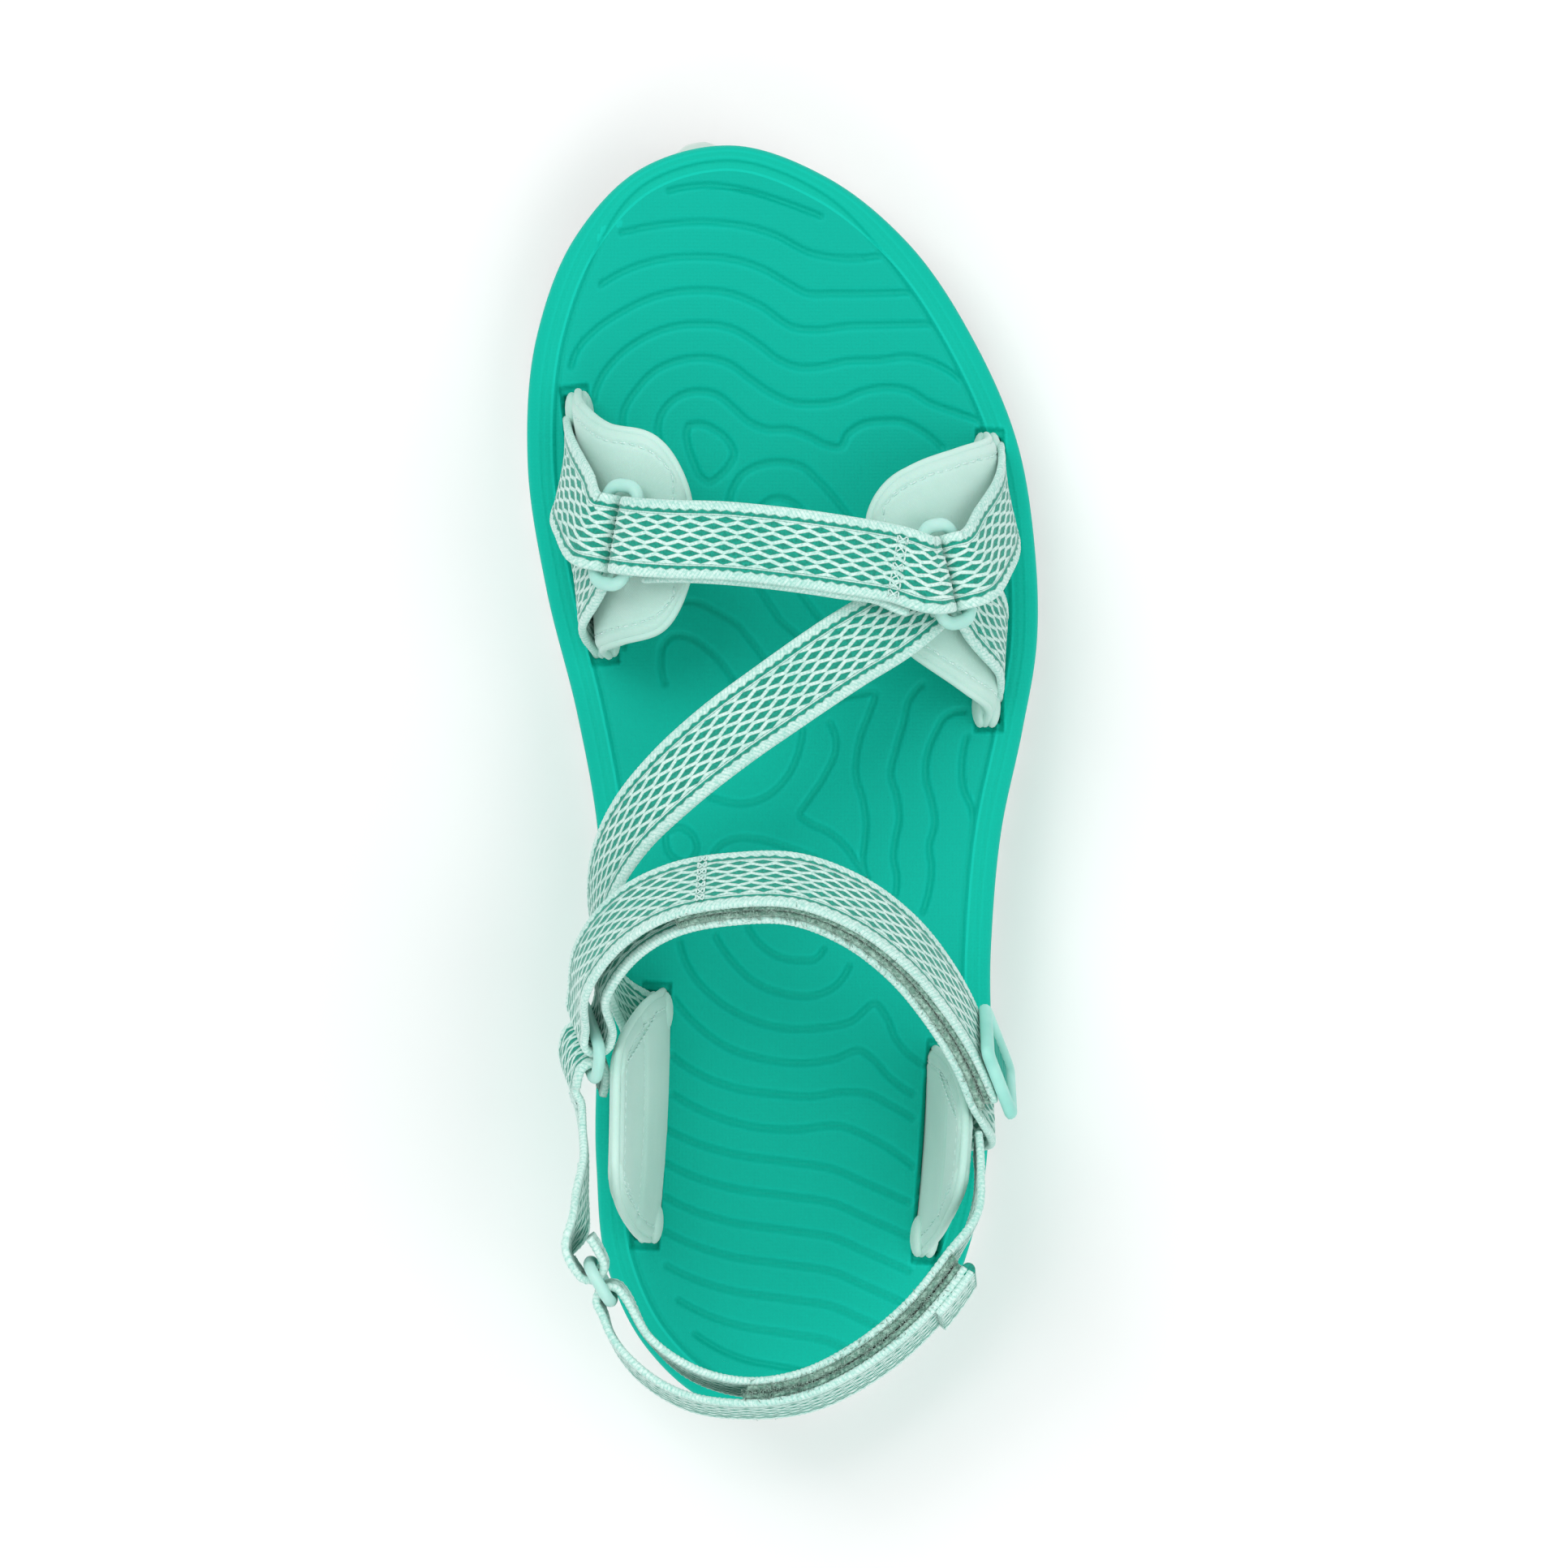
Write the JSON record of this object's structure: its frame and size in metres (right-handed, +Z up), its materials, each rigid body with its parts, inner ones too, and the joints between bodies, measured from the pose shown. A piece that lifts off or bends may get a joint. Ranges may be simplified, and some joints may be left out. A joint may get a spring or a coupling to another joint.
{
  "type": "strappy sport sandal",
  "caption": "Open sport sandal for the right foot: foam sole with footbed, woven straps over toes, instep, ankle and heel, with rings, pads and hook-and-loop closures.",
  "frame": {"origin": "on the ground, under the middle of the sole outline's length and width", "axes": "+Y towards the toes, +X towards the little-toe side, +Z up"},
  "size_m": [0.1069, 0.2644, 0.1015],
  "materials": {
    "outsole_rubber": "matt moulded rubber with a lugged tread",
    "midsole_foam": "matt moulded foam, fine grained skin",
    "footbed_foam": "matt foam with shallow contour grooves and a fine grid texture",
    "shank_nylon": "plain moulded nylon",
    "pad_fabric": "soft pale padded fabric with a smooth face",
    "webbing": "woven webbing, pale diamond lattice over a darker ground, pale edges",
    "ring_plastic": "pale moulded plastic, satin",
    "loop_pile": "fuzzy loop pile",
    "hook_tape": "hook tape",
    "tab_plastic": "pale moulded rubber-like plastic",
    "tab_inset_plastic": "ribbed moulded plastic",
    "thread": "sewing thread"
  },
  "bodies": {
    "sole_and_straps": {"outsole": "outsole_rubber", "midsole": "midsole_foam", "footbed": "footbed_foam", "shank_plate": "shank_nylon", "medial_forefoot_pad": "pad_fabric", "lateral_forefoot_pad": "pad_fabric", "medial_heel_pad": "pad_fabric", "lateral_heel_pad": "pad_fabric", "medial_forefoot_webbing": "webbing", "lateral_forefoot_webbing": "webbing", "toe_strap": "webbing", "toe_strap_backing": "webbing", "toe_strap_seam": "thread", "instep_strap": "webbing", "medial_heel_webbing": "webbing", "ankle_strap": "webbing", "ankle_loop_patch": "loop_pile", "heel_strap": "webbing", "heel_loop_patch": "loop_pile"},
    "ankle_flap_near": {"ankle_flap_root": "webbing"},
    "ankle_flap_mid": {"ankle_flap_middle": "webbing", "ankle_hook_patch_middle": "hook_tape"},
    "ankle_flap_end": {"ankle_flap_tip": "webbing", "ankle_hook_patch_tip": "hook_tape", "ankle_pull_tab": "tab_plastic", "ankle_tab_inset": "tab_inset_plastic"},
    "heel_flap_near": {"heel_flap_root": "webbing"},
    "heel_flap_mid": {"heel_flap_middle": "webbing", "heel_hook_patch_middle": "hook_tape"},
    "heel_flap_end": {"heel_flap_tip": "webbing", "heel_hook_patch_tip": "hook_tape"},
    "medial_forefoot_ring": {"medial_forefoot_ring": "ring_plastic"},
    "lateral_forefoot_ring": {"lateral_forefoot_ring": "ring_plastic"},
    "medial_ankle_ring": {"medial_ankle_ring": "ring_plastic"},
    "medial_heel_ring": {"medial_heel_ring": "ring_plastic"}
  },
  "joints": [
    {"name": "ankle_flap_opens", "type": "hinge", "parent": "sole_and_straps", "child": "ankle_flap_near", "pos_m": [-0.04246, -0.04871, 0.0672], "axis": [0.2312, -0.5327, 0.8141], "range_deg": [0, 65]},
    {"name": "ankle_flap_uncurls_mid", "type": "hinge", "parent": "ankle_flap_near", "child": "ankle_flap_mid", "pos_m": [-0.02222, -0.02144, 0.09292], "axis": [-0.0274, -0.6822, 0.7306], "range_deg": [0, 26]},
    {"name": "ankle_flap_uncurls_end", "type": "hinge", "parent": "ankle_flap_mid", "child": "ankle_flap_end", "pos_m": [0.02563, -0.03169, 0.08734], "axis": [-0.1009, -0.6421, 0.7599], "range_deg": [0, 26]},
    {"name": "heel_flap_opens", "type": "hinge", "parent": "sole_and_straps", "child": "heel_flap_near", "pos_m": [-0.0376, -0.10649, 0.074], "axis": [0, 0, -1], "range_deg": [0, 70]},
    {"name": "heel_flap_uncurls_mid", "type": "hinge", "parent": "heel_flap_near", "child": "heel_flap_mid", "pos_m": [-0.00774, -0.12764, 0.074], "axis": [0, 0, -1], "range_deg": [0, 21]},
    {"name": "heel_flap_uncurls_end", "type": "hinge", "parent": "heel_flap_mid", "child": "heel_flap_end", "pos_m": [0.01783, -0.12002, 0.07398], "axis": [-0.0351, -0.0187, -0.9992], "range_deg": [0, 21]},
    {"name": "medial_forefoot_ring_swivel", "type": "hinge", "parent": "sole_and_straps", "child": "medial_forefoot_ring", "pos_m": [-0.03742, 0.05099, 0.0517], "axis": [0.1806, 0.9835, 0], "range_deg": [-3.5, 3.5]},
    {"name": "lateral_forefoot_ring_swivel", "type": "hinge", "parent": "sole_and_straps", "child": "lateral_forefoot_ring", "pos_m": [0.03668, 0.04317, 0.0512], "axis": [-0.235, 0.972, 0], "range_deg": [-3.5, 3.5]},
    {"name": "medial_ankle_ring_swivel", "type": "hinge", "parent": "sole_and_straps", "child": "medial_ankle_ring", "pos_m": [-0.04026, -0.05579, 0.06194], "axis": [0.2312, -0.5327, 0.8141], "range_deg": [-3.5, 3.5]},
    {"name": "medial_heel_ring_swivel", "type": "hinge", "parent": "sole_and_straps", "child": "medial_heel_ring", "pos_m": [-0.03884, -0.09756, 0.074], "axis": [0, 0, -1], "range_deg": [-3.5, 3.5]}
  ]
}
